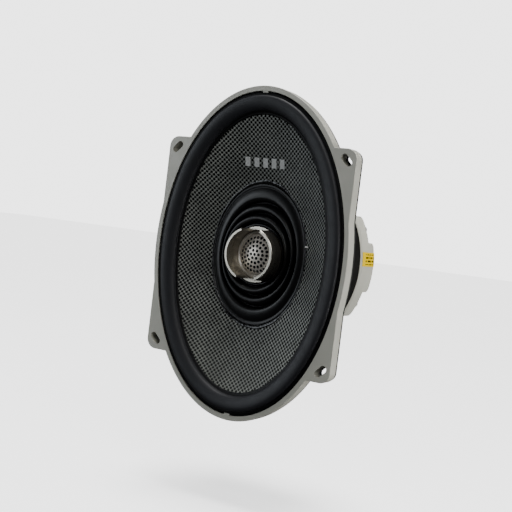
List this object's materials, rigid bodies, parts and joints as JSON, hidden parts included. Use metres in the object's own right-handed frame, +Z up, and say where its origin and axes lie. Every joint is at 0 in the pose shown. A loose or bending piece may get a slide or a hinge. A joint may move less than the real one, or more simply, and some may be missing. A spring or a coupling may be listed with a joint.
{
  "type": "coaxial car speaker",
  "caption": "Oval coaxial car speaker: cast frame with four slotted ears, rubber surround, woven cone, accordion boot, tweeter in a metal tube, and a motor behind.",
  "frame": {"origin": "centre of the four-slot pattern, on the gasket's rear face, which meets the panel", "axes": "the speaker faces -Y, +Z runs up its long axis, +X is to the right seen from the front"},
  "size_m": [0.1562, 0.081, 0.2366],
  "materials": {
    "basket_paint": "satin light warm grey paint on a cast frame",
    "gasket_foam": "matt black closed-cell foam",
    "surround_rubber": "satin black rubber",
    "cone_weave": "coarse diagonal weave of grey and black fibre",
    "black_glue": "glossy black adhesive",
    "boot_rubber": "matt black rubber",
    "lead_metal": "tinned braid",
    "spider_fabric": "impregnated woven cloth",
    "former_sheet": "thin bright sheet",
    "copper_wire": "enamelled copper wire",
    "collar_paper": "brown pressed paper",
    "zinc_steel": "zinc plated steel",
    "screw_steel": "plated steel",
    "ferrite": "dark sintered ferrite",
    "copper_sleeve": "bare copper",
    "cover_rubber": "matt black rubber",
    "screen_steel": "perforated steel, satin nickel",
    "tube_steel": "turned and brushed, warm nickel",
    "trim_chrome": "bright plated ring",
    "dome_silk": "coated silk",
    "black_plastic": "matt black moulding",
    "nickel_magnet": "nickel plated sintered magnet",
    "lead_jacket": "black jacket",
    "board_green": "green circuit board",
    "capacitor_film": "wrapped film capacitor",
    "resistor_ceramic": "white cement",
    "tab_brass": "tinned brass",
    "label_yellow": "printed yellow vinyl",
    "strip_fibre": "pressed fibre board"
  },
  "bodies": {
    "frame": {"basket": "basket_paint", "flange_gasket": "gasket_foam", "surround": "surround_rubber", "dust_boot": "boot_rubber", "spider": "spider_fabric", "top_plate": "zinc_steel", "plate_screws": "screw_steel", "magnet_ring": "ferrite", "pole_yoke": "zinc_steel", "shorting_ring": "copper_sleeve", "magnet_cover": "cover_rubber", "vent_screen": "screen_steel", "tweeter_housing": "tube_steel", "tweeter_trim_ring": "trim_chrome", "tweeter_screen": "screen_steel", "tweeter_surround": "dome_silk", "tweeter_clamp": "black_plastic", "tweeter_pole_piece": "zinc_steel", "tweeter_magnet": "nickel_magnet", "tweeter_yoke": "zinc_steel", "tweeter_lead": "lead_jacket", "crossover_cover": "black_plastic", "wing_cover": "black_plastic", "wing_screws": "screw_steel", "crossover_board": "board_green", "crossover_capacitor": "capacitor_film", "crossover_coil": "copper_wire", "crossover_resistor": "resistor_ceramic", "terminal_block": "black_plastic", "input_tabs": "tab_brass", "tweeter_tabs": "tab_brass", "jumper_straps": "tab_brass", "warning_label": "label_yellow", "lead_wires": "lead_metal", "lead_strip": "strip_fibre"},
    "cone_assembly": {"cone": "cone_weave", "cone_glue_bead": "black_glue", "lead_tag": "lead_metal", "lead_eyelets": "lead_metal", "voice_coil_former": "former_sheet", "voice_coil_winding": "copper_wire", "former_collar": "collar_paper"},
    "tweeter_diaphragm": {"tweeter_dome": "dome_silk", "tweeter_former": "former_sheet", "tweeter_winding": "copper_wire"}
  },
  "joints": [
    {"name": "cone_travel", "type": "slide", "parent": "frame", "child": "cone_assembly", "axis": [0, 1, 0], "range_m": [-0.005, 0.005], "stiffness_N_per_m": 3000, "deforming": ["surround", "dust_boot", "spider", "lead_wires"]},
    {"name": "tweeter_travel", "type": "slide", "parent": "frame", "child": "tweeter_diaphragm", "axis": [0, 1, 0], "range_m": [-0.0003, 0.0003], "stiffness_N_per_m": 2000, "deforming": ["tweeter_surround"]}
  ]
}
